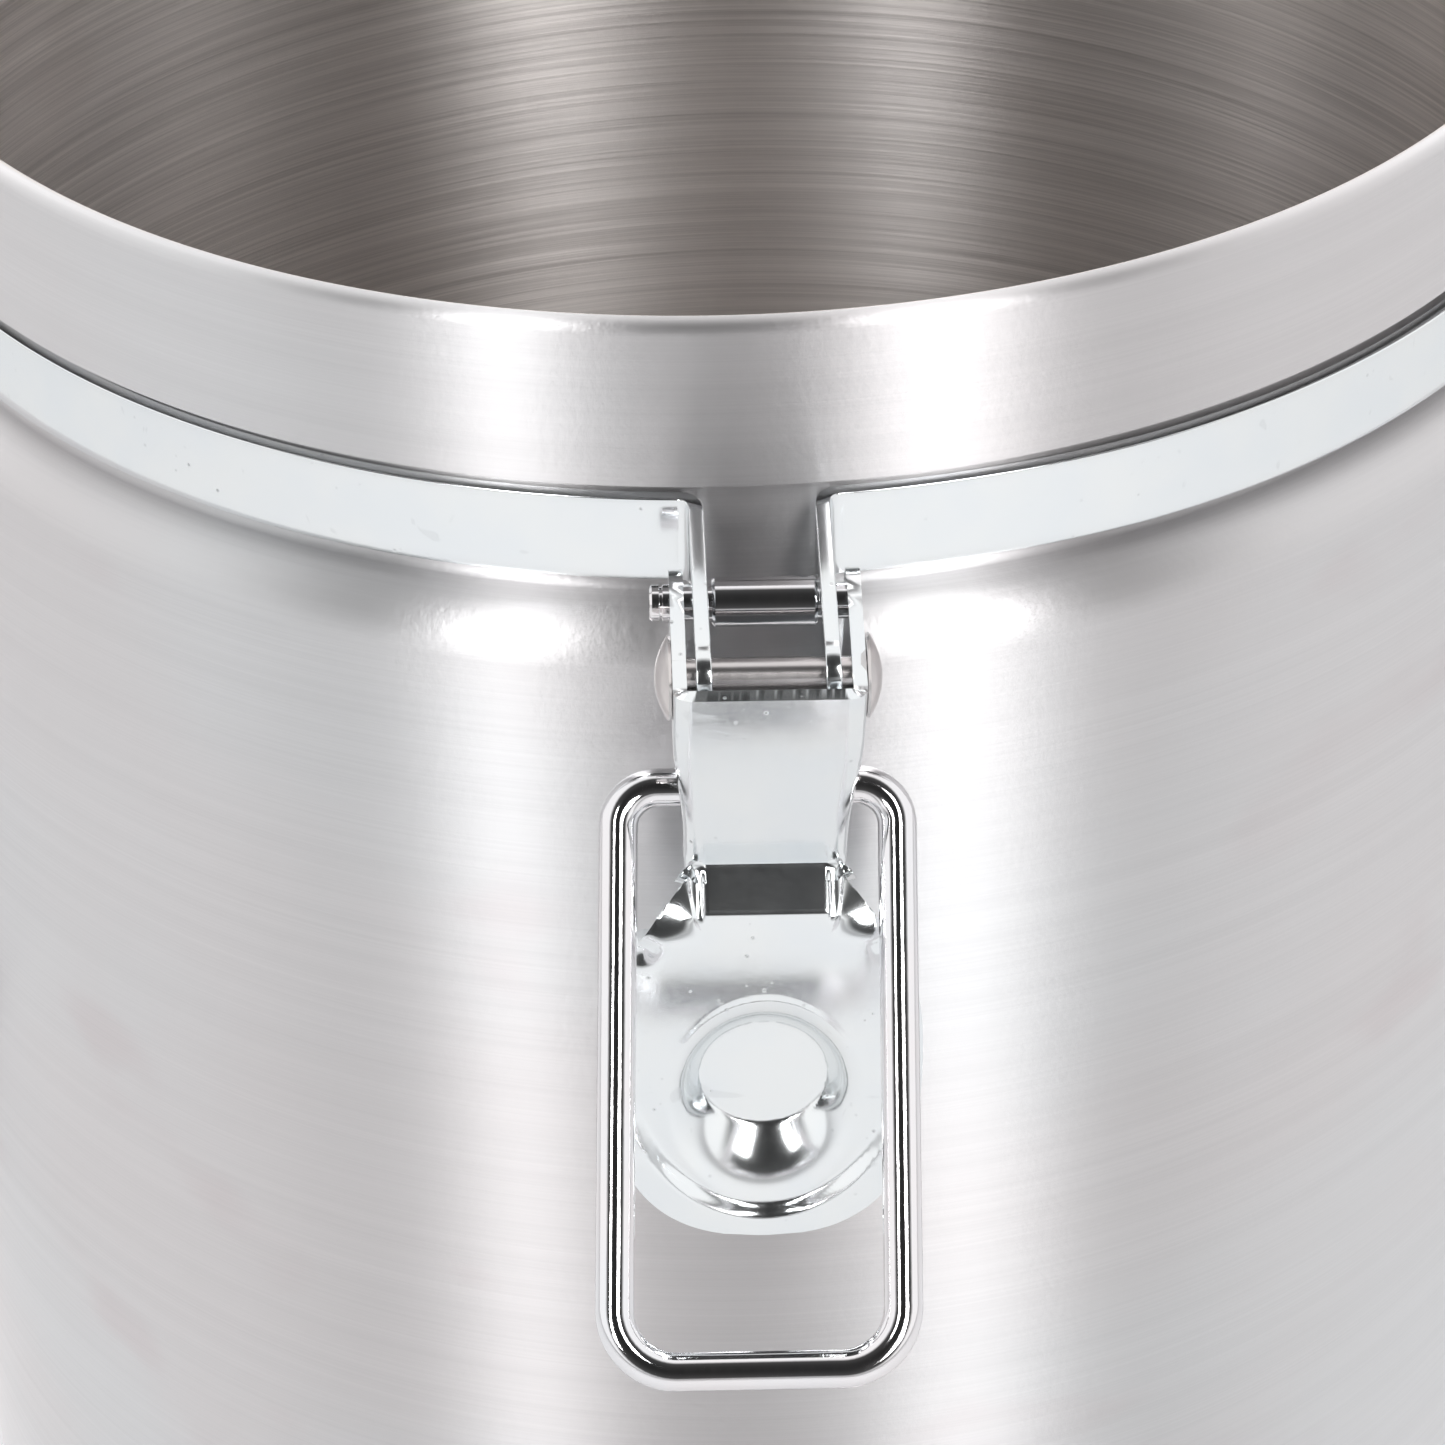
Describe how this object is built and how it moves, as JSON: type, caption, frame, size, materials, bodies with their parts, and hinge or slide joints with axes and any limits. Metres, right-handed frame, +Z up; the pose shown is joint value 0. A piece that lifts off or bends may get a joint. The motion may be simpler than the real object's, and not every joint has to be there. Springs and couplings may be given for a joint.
{
  "type": "milk can",
  "caption": "Cylindrical stainless steel milk can with a short rolled neck, a clamp band with a lever and wire-bail latch, a hinged sealed lid and two drop handles.",
  "frame": {"origin": "centre of the round base, on the surface that the can stands on", "axes": "+Z up along the can's axis; -Y towards the latch; +X to the right when facing the latch"},
  "size_m": [0.2988, 0.5006, 0.6123],
  "materials": {
    "satin_steel": "satin stainless steel with a fine brushed grain",
    "zinc_plate": "bright zinc-plated pressed steel",
    "polished_wire": "polished steel rod",
    "strap_steel": "satin stainless strip",
    "stainless_fastener": "turned stainless steel",
    "silicone": "translucent white silicone, matt"
  },
  "bodies": {
    "can": {"can_shell": "satin_steel", "can_bottom": "satin_steel", "foot_ring": "satin_steel", "band_left": "zinc_plate", "band_right": "zinc_plate", "lever_rivet": "stainless_fastener", "hinge_bolt": "stainless_fastener", "hinge_nut": "stainless_fastener", "hinge_washers": "stainless_fastener", "handle_bracket_left": "strap_steel", "handle_bracket_right": "strap_steel", "bracket_rivets_left": "stainless_fastener", "bracket_rivets_right": "stainless_fastener"},
    "lever": {"lever": "zinc_plate", "stop_pin": "polished_wire", "stop_sleeve": "polished_wire"},
    "bail": {"bail": "polished_wire"},
    "lid": {"lid": "satin_steel", "lid_gasket": "silicone", "lid_strap": "strap_steel", "strap_rivets": "stainless_fastener", "hinge_bush": "strap_steel"},
    "handle_left": {"handle_left": "polished_wire"},
    "handle_right": {"handle_right": "polished_wire"}
  },
  "joints": [
    {"name": "lever_pivot", "type": "hinge", "parent": "can", "child": "lever", "pos_m": [0, -0.1508, 0.3365], "axis": [-0.9996, 0, 0.0297], "range_deg": [0, 95]},
    {"name": "bail_swing", "type": "hinge", "parent": "lever", "child": "bail", "pos_m": [-0.00065, -0.144, 0.31461], "axis": [0.9996, 0, -0.0297], "range_deg": [-138, 0]},
    {"name": "lid_hinge", "type": "hinge", "parent": "can", "child": "lid", "pos_m": [0, 0.146, 0.357], "axis": [-1, 0, 0], "range_deg": [-115, 0]},
    {"name": "handle_left_swing", "type": "hinge", "parent": "can", "child": "handle_left", "pos_m": [-0.1436, 0, 0.255], "axis": [0, 1, 0], "range_deg": [0, 95]},
    {"name": "handle_right_swing", "type": "hinge", "parent": "can", "child": "handle_right", "pos_m": [0.1436, 0, 0.255], "axis": [0, -1, 0], "range_deg": [0, 95]}
  ]
}
